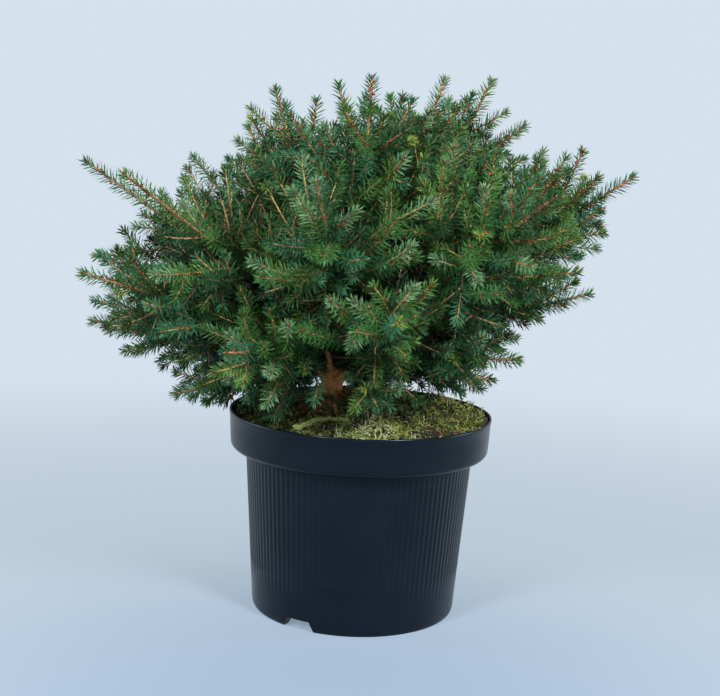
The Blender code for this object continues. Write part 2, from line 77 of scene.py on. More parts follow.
class Signal:
    """A node's output that takes part in sums, so that a mask reads as its formula."""

    def __init__(self, tree, socket=None):
        self.tree = tree
        self.socket = socket

    def node(self, kind, settings=None, inputs=None, output=0):
        """Any node: its type, its settings, and the values or links of its sockets."""
        made = self.tree.nodes.new(kind)
        for name, value in (settings or {}).items():
            if name == "stops":
                for k, (place, colour) in enumerate(value):
                    stop = made.color_ramp.elements[k] if k < 2 else made.color_ramp.elements.new(place)
                    stop.position = place
                    stop.color = (*colour, 1.0)
            else:
                setattr(made, name, value)
        for name, value in (inputs or {}).items():
            self.feed(made.inputs[name], value)
        return Signal(self.tree, made.outputs[output])

    def feed(self, socket, value):
        if isinstance(value, Signal):
            self.tree.links.new(value.socket, socket)
        else:
            socket.default_value = value

    def sum_with(self, operation, first, second):
        return self.node("ShaderNodeMath", {"operation": operation}, {0: first, 1: second})

    def __add__(self, other):
        return self.sum_with("ADD", self, other)

    def __radd__(self, other):
        return self.sum_with("ADD", other, self)

    def __sub__(self, other):
        return self.sum_with("SUBTRACT", self, other)

    def __rsub__(self, other):
        return self.sum_with("SUBTRACT", other, self)

    def __mul__(self, other):
        return self.sum_with("MULTIPLY", self, other)

    def __rmul__(self, other):
        return self.sum_with("MULTIPLY", other, self)

    def between(self, low, high):
        """This value spread from 0 at low to 1 at high."""
        return self.node(
            "ShaderNodeMapRange",
            {"interpolation_type": "SMOOTHSTEP"},
            {"Value": self, "From Min": low, "From Max": high},
        )

    def blend(self, first, second):
        """A colour that goes from the first to the second as this value goes from 0 to 1."""
        ends = [end if isinstance(end, Signal) else (*end, 1.0) for end in (first, second)]
        settings = {"data_type": "RGBA"}
        return self.node("ShaderNodeMix", settings, {0: self, 6: ends[0], 7: ends[1]}, output=2)

    def grain(self, scale, detail=3.0, rough=0.5, stretch=(1, 1, 1)):
        """Noise fixed to the piece: scale is in patches per metre."""
        place = self.node("ShaderNodeTexCoord", output=3)
        spread = self.node("ShaderNodeVectorMath", {"operation": "MULTIPLY"}, {0: place, 1: stretch})
        return self.node(
            "ShaderNodeTexNoise",
            {},
            {"Vector": spread, "Scale": scale, "Detail": detail, "Roughness": rough},
        )


def finish(name, **constants):
    """A material with one Principled shader. Returns it, a way to feed its sockets, and a start."""
    material = bpy.data.materials.new(name)
    material.use_nodes = True
    shader = material.node_tree.nodes["Principled BSDF"]
    start = Signal(material.node_tree)
    for socket, value in constants.items():
        shader.inputs[socket.replace("_", " ")].default_value = value

    def feed(socket, value):
        start.feed(shader.inputs[socket], value)

    return material, feed, start


def piece_from(name, points, faces, material, smooth=True):
    """One mesh object from arrays of points and faces."""
    mesh = bpy.data.meshes.new(name)
    mesh.from_pydata(points, [], faces)
    mesh.update()
    if smooth:
        mesh.shade_smooth()
    mesh.materials.append(material)
    made = bpy.data.objects.new(name, mesh)
    bpy.context.scene.collection.objects.link(made)
    return made


def skin_faces(rings, columns):
    """Quads between rings of points that are listed one ring after another."""
    column = np.arange(columns)
    after = (column + 1) % columns
    low = np.arange(rings - 1)[:, None] * columns
    quads = np.stack([low + column, low + after, low + columns + after, low + columns + column], axis=2)
    return quads.reshape(-1, 4)


def wall_radius(height):
    """The pot's outer wall under the collar."""
    return FOOT_RADIUS + (WAIST_RADIUS - FOOT_RADIUS) * height / COLLAR_FOOT


def rounded(centre_radius, centre_height, radius, start, end, steps):
    """Points of a rounded edge in the half section: angles from straight out, in degrees."""
    found = []
    for k in range(steps + 1):
        angle = math.radians(start + (end - start) * k / steps)
        found.append((centre_radius + radius * math.cos(angle), centre_height + radius * math.sin(angle), 0))
    return found


def pot_section():
    """Half section of the pot, each point with the share of a rib's depth that it takes."""
    channel = wall_radius(0) - FOOT_RING
    inner_floor = wall_radius(FLOOR_LIFT) - WALL - FLOOR_SKIN
    section = [(PAD_RADIUS - 0.001, 0, 0), (PAD_RADIUS, 0.0005, 0)]
    section += [(PAD_RADIUS + CHANNEL_DRAFT, FLOOR_LIFT, 0), (channel - CHANNEL_DRAFT, FLOOR_LIFT, 0)]
    section += [(channel, 0.0006, 0), (channel + 0.0006, 0, 0)]
    steps = 8
    for k in range(steps + 1):
        turn = math.radians(90 * k / steps)
        radius = wall_radius(FILLET) - FILLET * FILLET_DEPTH * (1 - math.sin(turn))
        section.append((radius, FILLET * (1 - math.cos(turn)), 0))
    section.append((wall_radius(RIB_FOOT), RIB_FOOT, 0))
    section.append((wall_radius(RIDGE_HEIGHT - 0.0060), RIDGE_HEIGHT - 0.0060, 0.6))
    for offset, proud in ((-0.0008, 0), (-0.0003, 1), (0.0003, 1), (0.0008, 0)):
        height = RIDGE_HEIGHT + offset
        section.append((wall_radius(height) + RIDGE * proud, height, 0.9))
    for k in range(1, 8):
        height = RIDGE_HEIGHT + (RIB_TOP - RIDGE_HEIGHT) * k / 8
        section.append((wall_radius(height), height, 1))
    section.append((wall_radius(RIB_TOP), RIB_TOP, 1))
    section.append((wall_radius(COLLAR_FOOT - 0.003), COLLAR_FOOT - 0.003, 0))
    section.append((wall_radius(COLLAR_FOOT) - 0.0006, COLLAR_FOOT - 0.0006, 0))
    section.append((wall_radius(COLLAR_FOOT) + 0.0006, COLLAR_FOOT, 0))
    corner = 0.0052
    section += rounded(RIM_RADIUS - 0.0018 - corner, COLLAR_FOOT + corner + 0.0004, corner, -90, -4, 8)
    section.append((RIM_RADIUS - 0.0010, COLLAR_FOOT + 0.018, 0))
    section.append((RIM_RADIUS - 0.0006, POT_HEIGHT - 0.0040, 0))
    section.append((RIM_RADIUS - 0.0001, POT_HEIGHT - 0.0032, 0))
    lip = WALL / 2
    section += rounded(RIM_RADIUS - lip, POT_HEIGHT - lip, lip, 0, 180, 6)
    section += [
        (RIM_RADIUS - WALL * 2, COLLAR_FOOT + 0.006, 0),
        (wall_radius(COLLAR_FOOT) - WALL, COLLAR_FOOT + 0.002, 0),
        (inner_floor, FLOOR_LIFT + FLOOR_SKIN + 0.004, 0),
        (inner_floor - 0.004, FLOOR_LIFT + FLOOR_SKIN, 0),
    ]
    return section


def notch_cutter(bearing, material):
    """A bar with a trapezoid section that runs out through the foot ring."""
    turn = math.radians(bearing)
    mouth = np.array([math.cos(turn), math.sin(turn), 0])
    side = np.array([-mouth[1], mouth[0], 0])
    half_foot = NOTCH_WIDTH / 2
    half_top = half_foot * NOTCH_TOP_SHARE
    points = []
    for reach in (FOOT_RADIUS - FOOT_RING - CUT_PAST, FOOT_RADIUS + CUT_PAST):
        for half, height in ((half_foot, -CUT_PAST), (half_foot, 0.0), (half_top, NOTCH_HEIGHT)):
            for hand in (1, -1):
                points.append(mouth * reach + side * half * hand + np.array([0, 0, height]))
    ring = (0, 2, 4, 5, 3, 1)
    faces = [tuple(reversed(ring)), tuple(6 + k for k in ring)]
    for a, b in zip(ring, ring[1:] + ring[:1]):
        faces.append((a, b, b + 6, a + 6))
    return piece_from("notch_cutter", points, faces, material, smooth=False)


def make_pot(material):
    section = pot_section()
    columns = RIB_COUNT * RIB_COLUMNS
    turn = np.arange(columns) * 2 * math.pi / columns
    groove = 0.5 * (1 - np.cos(RIB_COUNT * turn))
    rings = []
    for radius, height, share in section:
        reach = radius - RIB_DEPTH * share * groove
        rings.append(np.stack([reach * np.cos(turn), reach * np.sin(turn), np.full(columns, height)], axis=1))
    faces = skin_faces(len(rings), columns).tolist()
    faces.append(list(reversed(range(columns))))
    faces.append(list(range((len(rings) - 1) * columns, len(rings) * columns)))
    pot = piece_from("nursery_pot", np.concatenate(rings), faces, material)
    for bearing in NOTCH_BEARINGS:
        cutter = notch_cutter(bearing, material)
        cut = pot.modifiers.new("notch", "BOOLEAN")
        cut.operation = "DIFFERENCE"
        cut.object = cutter
        bpy.context.view_layer.update()
        carved = bpy.data.meshes.new_from_object(pot.evaluated_get(bpy.context.evaluated_depsgraph_get()))
        pot.modifiers.clear()
        pot.data = carved
        bpy.data.objects.remove(cutter)
    pot.data.set_sharp_from_angle(angle=math.radians(38))
    return pot


black_plastic, feed, start = finish("black_polypropylene", Specular_IOR_Level=0.24, Specular_Tint=SHEEN_TINT)
dust = start.grain(420, 6, 0.7).between(0.62, 0.80)
smear = start.grain(16, 3, 0.6).between(0.35, 0.75)
feed("Base Color", (dust * 0.30 + smear * 0.06).blend(PLASTIC_BLACK, PLASTIC_DUST))
feed("Roughness", 0.23 + smear * 0.10 + dust * 0.25)
bump = {"Strength": 0.10, "Distance": 0.0003, "Height": start.grain(1600, 2)}
feed("Normal", start.node("ShaderNodeBump", {}, bump))
pot = make_pot(black_plastic)
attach(pot, "root")
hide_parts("pot")

# Soil
# Damp peat fills the pot to just under its lip and mounds up to the trunk. It is packed
# in by hand and has settled, and it carries crumbs, dead needles and bits of twig.

GROUND = 0.182
SOIL_EDGE = 0.160
TRUNK_FOOT = Vector((-0.030, 0.004))
SOIL_RINGS = 72
SOIL_COLUMNS = 220
PEAT_DARK = (0.012, 0.009, 0.007)
PEAT_BROWN = (0.050, 0.034, 0.022)


def smooth_step(share):
    share = min(1.0, max(0.0, share))
    return share * share * (3 - 2 * share)


def soil_height(x, y):
    """Height of the soil: a mound about the trunk, level under the trunk itself."""
    away = math.hypot(x - TRUNK_FOOT.x, y - TRUNK_FOOT.y)
    edge = math.hypot(x, y) / RIM_RADIUS
    level = smooth_step((away - 0.020) / 0.02)
    lumps = 0.0016 * math.sin(95 * x + 2) * math.sin(110 * y) + 0.0009 * math.sin(230 * x - 170 * y)
    mound = GROUND + (SOIL_EDGE - GROUND) * smooth_step((edge - 0.22) / 0.78)
    return mound + level * lumps


def rough_soil_height(x, y):
    """The soil's height with its clods, which die out at the trunk, heaped up along the pot's wall and most
    at the back right.
    """
    place = Vector((x, y, 0))
    away = math.hypot(x - TRUNK_FOOT.x, y - TRUNK_FOOT.y)
    level = smooth_step((away - 0.014) / 0.02)
    clods = noise.fractal(place * 130, 0.9, 2.1, 4) * 0.0021
    wall_side = smooth_step((math.hypot(x, y) / RIM_RADIUS - 0.70) / 0.25)
    back_right = smooth_step(x / 0.060) * smooth_step((y + 0.045) / 0.050)
    heaped = (0.0045 + 0.0050 * back_right) * wall_side
    return soil_height(x, y) + level * clods + heaped - 0.0006


def make_soil(material):
    points = [(0, 0, rough_soil_height(0, 0))]
    edge = RIM_RADIUS - WALL - 0.0010
    for ring in range(1, SOIL_RINGS + 1):
        for column in range(SOIL_COLUMNS):
            turn = 2 * math.pi * column / SOIL_COLUMNS
            reach = edge * ring / SOIL_RINGS
            x = reach * math.cos(turn)
            y = reach * math.sin(turn)
            points.append((x, y, rough_soil_height(x, y)))
    for column in range(SOIL_COLUMNS):
        turn = 2 * math.pi * column / SOIL_COLUMNS
        points.append(((edge - 0.001) * math.cos(turn), (edge - 0.001) * math.sin(turn), COLLAR_FOOT + 0.010))
    faces = (skin_faces(SOIL_RINGS + 1, SOIL_COLUMNS) + 1).tolist()
    for column in range(SOIL_COLUMNS):
        faces.append([0, 1 + (column + 1) % SOIL_COLUMNS, 1 + column][::-1])
    return piece_from("peat", points, faces, material)


peat_finish, feed, start = finish("damp_peat", Roughness=0.95)
clods = start.grain(260, 8, 0.65)
feed("Base Color", clods.between(0.38, 0.66).blend(PEAT_DARK, PEAT_BROWN))
feed("Normal", start.node("ShaderNodeBump", {}, {"Strength": 0.9, "Distance": 0.002, "Height": clods}))
peat = make_soil(peat_finish)
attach(peat, "root")
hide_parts("soil")

# Moss and litter
# Cushions of moss grow over most of the peat, yellow-green, with pale lichen strands at the
# front. Patches of olive moss and dark olive strands, scattered at random, are a darker copy
# of the moss as painted shade. Crumbs, dead needles and twigs lie on it.

MOSS_TUFTS = 3300
LEAFLETS = 6
LITTER = 1000
CRUMBS = 1300
STRAND_PIECES = 5
MOUTH = RIM_RADIUS - WALL * 2 - 0.0005
MOSS_FRESH = (0.185, 0.235, 0.042)
MOSS_PAINTED_SHADE = (0.052, 0.070, 0.016)
MOSS_YELLOW = (0.300, 0.360, 0.080)
LICHEN_PALE = (0.450, 0.510, 0.240)
LITTER_BROWN = (0.360, 0.170, 0.070)
TWIG_START = Vector((-0.052, -0.088))
TWIG_END = Vector((-0.010, -0.070))
SEEDLING_SPOT = Vector((-0.0610, -0.0250))
SEEDLING_GREEN = (0.055, 0.180, 0.060)


def spikes(roots, ways, lengths, widths, belly=0.35):
    """Slim pointed bodies as one mesh: three sides, widest at the belly, six faces each."""
    count = len(roots)
    helper = np.where(np.abs(ways[:, 2:3]) < 0.9, [[0.0, 0.0, 1.0]], [[1.0, 0.0, 0.0]])
    side = np.cross(ways, helper)
    side /= np.linalg.norm(side, axis=1, keepdims=True)
    other = np.cross(ways, side)
    points = np.empty((count, 5, 3))
    points[:, 0] = roots
    points[:, 4] = roots + ways * lengths[:, None]
    middle = roots + ways * (lengths * belly)[:, None]
    for k in range(3):
        turn = 2 * math.pi * k / 3
        points[:, 1 + k] = middle + (math.cos(turn) * side + math.sin(turn) * other) * widths[:, None]
    pattern = np.array([[0, 2, 1], [0, 3, 2], [0, 1, 3], [4, 1, 2], [4, 2, 3], [4, 3, 1]])
    faces = pattern[None] + 5 * np.arange(count)[:, None, None]
    return points.reshape(-1, 3), faces.reshape(-1, 3)


def unit_rows(rows):
    return rows / np.linalg.norm(rows, axis=1, keepdims=True)


def spikes_inside(roots, ways, lengths, widths, belly):
    """Spikes on the soil, without those that would run into the pot's wall."""
    ends = roots + ways * lengths[:, None]
    kept = np.hypot(ends[:, 0], ends[:, 1]) < MOUTH
    return spikes(roots[kept], ways[kept], lengths[kept], widths[kept], belly)


def moss_cover(x, y):
    """How likely moss is: thick at the left and middle, thin at the front right."""
    patches = noise.fractal(Vector((x, y, 3)) * 38, 1.0, 2.0, 3)
    bare_corner = smooth_step((x - 0.030) / 0.03) * smooth_step((-0.035 - y) / 0.03)
    return 0.62 + 0.55 * patches - 0.80 * bare_corner


def make_moss():
    chance = random.Random(51)
    kinds = {"fresh": [], "olive": []}
    while sum(len(kind) for kind in kinds.values()) < MOSS_TUFTS * LEAFLETS:
        reach = (MOUTH - 0.004) * math.sqrt(chance.random())
        turn = chance.uniform(0, 2 * math.pi)
        x = reach * math.cos(turn)
        y = reach * math.sin(turn)
        if chance.random() > moss_cover(x, y):
            continue
        # Olive tufts are a darker copy of the fresh moss, placed by noise patches: painted shade.
        shade = noise.noise(Vector((x, y, 9)) * 60) + chance.uniform(-0.25, 0.25)
        kind = kinds["fresh" if shade > -0.02 else "olive"]
        height = rough_soil_height(x, y) - 0.0004
        for _ in range(LEAFLETS):
            way = (chance.gauss(0, 0.8), chance.gauss(0, 0.8), chance.uniform(0.3, 1.1))
            spot = (x + chance.gauss(0, 0.0008), y + chance.gauss(0, 0.0008), height)
            kind.append((spot, way, chance.uniform(0.0024, 0.0052)))
    made = []
    for name, colour in (("fresh", MOSS_FRESH), ("olive", MOSS_PAINTED_SHADE)):
        roots = np.array([leaf[0] for leaf in kinds[name]])
        ways = unit_rows(np.array([leaf[1] for leaf in kinds[name]]))
        lengths = np.array([leaf[2] for leaf in kinds[name]])
        material, _, _ = finish(f"moss_{name}", Base_Color=(*colour, 1.0), Roughness=0.85)
        points, faces = spikes_inside(roots, ways, lengths, lengths * 0.18, 0.45)
        made.append(piece_from(f"moss_{name}", points, faces, material))
    return made


def scattered(count, seed, keep):
    """Spots on the soil where keep(x, y) allows them."""
    chance = random.Random(seed)
    spots = []
    while len(spots) < count:
        reach = (MOUTH - 0.001) * math.sqrt(chance.random())
        turn = chance.uniform(0, 2 * math.pi)
        x = reach * math.cos(turn)
        y = reach * math.sin(turn)
        if chance.random() < keep(x, y):
            spots.append((x, y, rough_soil_height(x, y)))
    return np.array(spots), np.random.default_rng(seed)


def make_litter():
    """Dead needles that lie where they fell."""
    roots, draw = scattered(LITTER, 52, lambda x, y: 1.0)
    ways = draw.normal(size=(LITTER, 3)) * [1, 1, 0.28]
    roots[:, 2] += draw.uniform(0.0004, 0.0022, LITTER)
    lengths = draw.uniform(0.006, 0.011, LITTER)
    material, _, _ = finish("dead_needles", Base_Color=(*LITTER_BROWN, 1.0), Roughness=0.8)
    points, faces = spikes_inside(roots, unit_rows(ways), lengths, np.full(LITTER, 0.0005), 0.4)
    return piece_from("dead_needles", points, faces, material)


def make_crumbs():
    """Crumbs of peat: rough octahedra of two to five millimetres."""
    centres, draw = scattered(CRUMBS, 53, lambda x, y: 1.1 - moss_cover(x, y))
    corners = np.array([[1, 0, 0], [-1, 0, 0], [0, 1, 0], [0, -1, 0], [0, 0, 1], [0, 0, -1]], float)
    sizes = draw.uniform(0.0007, 0.0024, (CRUMBS, 1, 1)) * draw.uniform(0.6, 1.3, (CRUMBS, 6, 1))
    points = centres[:, None] + corners[None] * sizes
    pattern = [[0, 2, 4], [2, 1, 4], [1, 3, 4], [3, 0, 4], [2, 0, 5], [1, 2, 5], [3, 1, 5], [0, 3, 5]]
    faces = np.array(pattern)[None] + 6 * np.arange(CRUMBS)[:, None, None]
    return piece_from("peat_crumbs", points.reshape(-1, 3), faces.reshape(-1, 3), peat_finish, smooth=False)


def lichen_patch(x, y):
    """Where pale lichen grows: one patch at the front."""
    return math.exp(-((x + 0.008) / 0.036) ** 2 - ((y + 0.078) / 0.022) ** 2)


def make_strands(name, count, seed, keep, colour):
    """Curling strands, each a chain of short pointed pieces."""
    roots, draw = scattered(count, seed, keep)
    chains = []
    headings = unit_rows(draw.normal(size=(count, 3)) * [1, 1, 0.3] + [0, 0, 0.35])
    spots = roots + [0, 0, 0.0014]
    for _ in range(STRAND_PIECES):
        lengths = draw.uniform(0.0018, 0.0034, count)
        chains.append((spots, headings, lengths))
        spots = spots + headings * lengths[:, None] * 0.85
        headings = unit_rows(headings + draw.normal(size=headings.shape) * 0.55 - [0, 0, 0.10])
    material, _, _ = finish(name, Base_Color=(*colour, 1.0), Roughness=0.9)
    roots = np.concatenate([chain[0] for chain in chains])
    ways = np.concatenate([chain[1] for chain in chains])
    lengths = np.concatenate([chain[2] for chain in chains])
    points, faces = spikes_inside(roots, ways, lengths, np.full(len(roots), 0.00075), 0.5)
    return piece_from(name, points, faces, material)


def make_fallen_twig():
    """A twig as thick as a pencil lead that lies on the moss and is overgrown by it."""
    draw = np.random.default_rng(57)
    count = 900
    share = draw.uniform(0, 1, count)
    start = np.array(TWIG_START)
    run = np.array(TWIG_END) - start
    bow = np.array([-run[1], run[0]]) * 0.22
    middle = start + run * share[:, None] + bow * np.sin(math.pi * share)[:, None]
    height = np.array([rough_soil_height(x, y) for x, y in middle]) + 0.0075
    thick = 0.0015 - 0.0005 * share
    out = unit_rows(draw.normal(size=(count, 3)))
    roots = np.column_stack([middle, height]) + out * thick[:, None] * 0.5
    material, _, _ = finish("overgrown_twig", Base_Color=(0.76, 0.84, 0.30, 1.0), Roughness=0.85)
    points, faces = spikes(roots, out, thick * 1.3, thick * 0.30, 0.45)
    return piece_from("overgrown_twig", points, faces, material)


def make_flakes():
    """Curled flakes of shed bark round the trunk's foot."""
    chance = random.Random(58)
    points = []
    faces = []
    for _ in range(40):
        turn = chance.uniform(0, 2 * math.pi)
        reach = chance.uniform(0.006, 0.034)
        x = TRUNK_FOOT.x + reach * math.cos(turn)
        y = TRUNK_FOOT.y - 0.026 + reach * math.sin(turn)
        centre = Vector((x, y, rough_soil_height(x, y) + 0.0030))
        lie = chance.uniform(0, 2 * math.pi)
        along = Vector((math.cos(lie), math.sin(lie), chance.uniform(-0.3, 0.5))).normalized()
        side = along.cross(Vector((0, 0, 1))).normalized()
        face = side.cross(along)
        half = chance.uniform(0.004, 0.008)
        base = len(points)
        for k in range(7):
            bend = (k - 3) / 3
            curl = bend * 1.2
            middle = centre + along * half * math.sin(curl) + face * half * 0.9 * (1 - math.cos(curl))
            wide = 0.0020 * (1 - 0.6 * bend * bend)
            for hand, lift in ((1, 0.0003), (-1, 0.0003), (-1, -0.0003), (1, -0.0003)):
                points.append(middle + side * wide * hand + face * lift)
        for corners in skin_faces(7, 4).tolist():
            faces.append([base + corner for corner in corners])
        faces.append([base + 3, base + 2, base + 1, base])
        faces.append([base + 24, base + 25, base + 26, base + 27])
    material, feed, start = finish("bark_flakes", Roughness=0.8)
    feed("Base Color", start.grain(700, 3).between(0.3, 0.7).blend((0.52, 0.23, 0.10), (0.22, 0.09, 0.04)))
    return piece_from("bark_flakes", points, faces, material, smooth=False)


def make_seedling():
    """A small star of green needles that stands in the moss."""
    draw = np.random.default_rng(59)
    count = 90
    height = rough_soil_height(SEEDLING_SPOT.x, SEEDLING_SPOT.y) + 0.006
    roots = np.tile([SEEDLING_SPOT.x, SEEDLING_SPOT.y, height], (count, 1))
    roots += draw.normal(0, 0.0008, (count, 3))
    ways = unit_rows(draw.normal(size=(count, 3)) + [0, 0, 0.5])
    material, _, _ = finish("seedling", Base_Color=(*SEEDLING_GREEN, 1.0), Roughness=0.5)
    lengths = draw.uniform(0.007, 0.011, count)
    points, faces = spikes_inside(roots, ways, lengths, np.full(count, 0.00055), 0.4)
    return piece_from("seedling", points, faces, material)


covers = make_moss()
covers.append(make_litter())
covers.append(make_crumbs())
covers.append(make_strands("lichen_strands", 250, 54, lichen_patch, LICHEN_PALE))
covers.append(make_strands("moss_strands", 700, 55, moss_cover, MOSS_YELLOW))
# Dark olive strands all over the peat: painted shade among the moss.
covers.append(make_strands("painted_shade_strands", 800, 56, lambda x, y: 0.5, MOSS_PAINTED_SHADE))
covers.append(make_fallen_twig())
covers.append(make_flakes())
covers.append(make_seedling())
for cover in covers:
    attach(cover, "root")

# Trunk
# One short leaning stem under scaly orange-brown bark. It flares where it enters the
# soil, tapers to its fork, and was never staked.

TRUNK_TOP = Vector((-0.013, 0.000, 0.252))
TRUNK_RADIUS = 0.0105
TRUNK_RINGS = 90
TRUNK_COLUMNS = 64
BARK_PAINTED_SHADE = (0.340, 0.140, 0.055)
BARK_ORANGE = (0.92, 0.43, 0.130)
BARK_GREY = (0.52, 0.27, 0.110)


def trunk_middle(height):
    """Centre of the trunk at a height: it leans and straightens as it rises."""
    share = (height - GROUND) / (TRUNK_TOP.z - GROUND)
    lean = math.sin(0.5 * math.pi * share)
    x = TRUNK_FOOT.x + (TRUNK_TOP.x - TRUNK_FOOT.x) * lean
    y = TRUNK_FOOT.y + (TRUNK_TOP.y - TRUNK_FOOT.y) * lean
    return Vector((x, y, height))


def trunk_radius(height):
    """The trunk tapers to its fork and flares over its last centimetre."""
    share = (height - GROUND) / (TRUNK_TOP.z - GROUND)
    flare = 0.006 * math.exp(-(height - GROUND) / 0.004)
    return TRUNK_RADIUS * (1 - 0.30 * share) + flare


def bark_scale(around, along, size, seed):
    """Relief of scaly bark, 0 in the cracks and 1 on the plates."""
    place = Vector((around / size, along / (size * 1.7), seed))
    near, _ = noise.voronoi(place)
    crack = min(1.0, (near[1] - near[0]) * 3.2)
    return crack * (0.72 + 0.28 * noise.noise(place * 4))


def make_trunk(material):
    points = []
    for ring in range(TRUNK_RINGS):
        height = GROUND + 0.0002 + (TRUNK_TOP.z - GROUND) * ring / (TRUNK_RINGS - 1)
        centre = trunk_middle(height)
        for column in range(TRUNK_COLUMNS):
            turn = 2 * math.pi * column / TRUNK_COLUMNS
            out = Vector((math.cos(turn), math.sin(turn), 0))
            spot = out * trunk_radius(height)
            relief = bark_scale(spot.x, height + spot.y, 0.0052, 2.0)
            points.append(centre + spot - out * 0.0009 * (1 - relief))
    faces = skin_faces(TRUNK_RINGS, TRUNK_COLUMNS).tolist()
    faces.append(list(reversed(range(TRUNK_COLUMNS))))
    faces.append(list(range((TRUNK_RINGS - 1) * TRUNK_COLUMNS, TRUNK_RINGS * TRUNK_COLUMNS)))
    return piece_from("trunk_bark", points, faces, material)


bark_finish, feed, start = finish("scaly_bark", Roughness=0.88)
plates = start.node(
    "ShaderNodeTexVoronoi",
    {"feature": "DISTANCE_TO_EDGE"},
    {"Vector": start.node("ShaderNodeTexCoord", output=3), "Scale": 150.0},
)
flakes = start.grain(420, 5, 0.6)
lit = flakes.between(0.35, 0.65).blend(BARK_ORANGE, BARK_GREY)
# The cracks between the bark's plates and the low places of its flake noise, where the bump sinks, are
# darkened as painted shade.
feed("Base Color", (plates.between(-0.04, 0.05) * flakes.between(0.20, 0.5)).blend(BARK_PAINTED_SHADE, lit))
bump = {"Strength": 0.8, "Distance": 0.001, "Height": plates + flakes * 0.4}
feed("Normal", start.node("ShaderNodeBump", {}, bump))
trunk = make_trunk(bark_finish)
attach(trunk, "root")
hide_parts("trunk")

# Boughs
# The main limbs leave the trunk tier by tier and fan out, the lowest almost level and
# the top ones upright. Each is living wood under thin scaly bark, grown from the trunk.

CLEAR = 0.0003
HEART = Vector((-0.010, 0.000, 0.222))
TIERS = (
    ("skirt", 5, -8, 0.150, 212, -0.12, 0.1985),
    ("low", 5, 6, 0.192, 248, -0.18, 0.2075),
    ("side", 5, 17, 0.238, 212, -0.10, 0.2165),
    ("shoulder", 8, 33, 0.277, 178, 0.02, 0.2260),
    ("upper", 3, 62, 0.244, 152, 0.24, 0.2425),
    ("top", 2, 74, 0.241, 12, 0.17, TRUNK_TOP.z),
)
CROWDED = 5
SEAT_STEP = 0.0075
CROWN_SEED = 7
BEARING_DRIFT = 6
RISE_DRIFT = 3
REACH_DRIFT = 0.04
BOUGH_SHARE = 0.25
BOUGH_ROOT_RADIUS = 0.0034
BOUGH_TIP_RADIUS = 0.0021
BOUGH_RINGS = 26
BOUGH_COLUMNS = 14


def unit(bearing, rise):
    """A direction from its bearing about Z and its rise, in degrees."""
    turn = math.radians(bearing)
    lift = math.radians(rise)
    return Vector((math.cos(lift) * math.cos(turn), math.cos(lift) * math.sin(turn), math.sin(lift)))


def crown_plan():
    """Every bough's name, direction, reach and root height, tier by tier."""
    chance = random.Random(CROWN_SEED)
    plan = []
    for tier, count, rise, reach, first, lean, height in TIERS:
        for k in range(count):
            bearing = first + 360 * k / count + chance.uniform(-BEARING_DRIFT, BEARING_DRIFT)
            direction = unit(bearing, rise + chance.uniform(-RISE_DRIFT, RISE_DRIFT))
            length = reach * (1 + lean * direction.x + chance.uniform(-REACH_DRIFT, REACH_DRIFT))
            seat = height + (SEAT_STEP if count > CROWDED and k % 2 else 0)
            plan.append((f"{tier}_{k + 1}", direction, length, seat))
    return plan


def bough_path(direction, reach, height, count):
    """A bough's centre line, from inside the trunk's bark to where its twigs begin."""
    level = Vector((direction.x, direction.y, 0)).normalized()
    if height >= TRUNK_TOP.z:
        facing = Vector((0, 0, 1))
        start = TRUNK_TOP + level * (BOUGH_ROOT_RADIUS + CLEAR)
    else:
        below = height - BOUGH_ROOT_RADIUS
        above = height + BOUGH_ROOT_RADIUS
        rise = trunk_middle(above) - trunk_middle(below)
        rise += level * (trunk_radius(above) - trunk_radius(below))
        facing = (level - rise * level.dot(rise) / rise.length_squared).normalized()
        start = trunk_middle(height) + level * trunk_radius(height)
    end = HEART + direction * reach * BOUGH_SHARE
    span = (end - start).length
    leave = start + facing * span * 0.35
    arrive = end - direction * span * 0.4
    path = [start - facing * 0.0025]
    for k in range(count):
        t = k / (count - 1)
        s = 1 - t
        path.append(s**3 * start + 3 * s * s * t * leave + 3 * s * t * t * arrive + t**3 * end)
    return path


def across(direction):
    """Two unit vectors square to a direction and to each other."""
    helper = Vector((0, 0, 1)) if abs(direction.z) < 0.9 else Vector((1, 0, 0))
    side = direction.cross(helper).normalized()
    return side, direction.cross(side)


def tube(path, radii, columns, relief=None):
    """Points of a limb along a path, ring by ring and untwisted."""
    points = []
    side, _ = across((path[1] - path[0]).normalized())
    run = 0.0
    for k, (centre, radius) in enumerate(zip(path, radii)):
        along = (path[min(k + 1, len(path) - 1)] - path[max(k - 1, 0)]).normalized()
        side = (side - along * side.dot(along)).normalized()
        other = along.cross(side)
        run += (centre - path[max(k - 1, 0)]).length
        for column in range(columns):
            turn = 2 * math.pi * column / columns
            out = math.cos(turn) * side + math.sin(turn) * other
            depth = relief(out * radius, run) if relief else 0.0
            points.append(centre + out * (radius - depth))
    return points


def tube_faces(rings, columns):
    """Faces of a tube whose rings are listed one after another, with both ends closed."""
    faces = skin_faces(rings, columns).tolist()
    faces.append(list(reversed(range(columns))))
    faces.append(list(range((rings - 1) * columns, rings * columns)))
    return faces


def joined(name, shapes, material):
    """Many closed shapes as one mesh."""
    points = []
    faces = []
    for shape_points, shape_faces in shapes:
        base = len(points)
        points.extend(shape_points)
        faces.extend([[base + corner for corner in face] for face in shape_faces])
    return piece_from(name, points, faces, material)


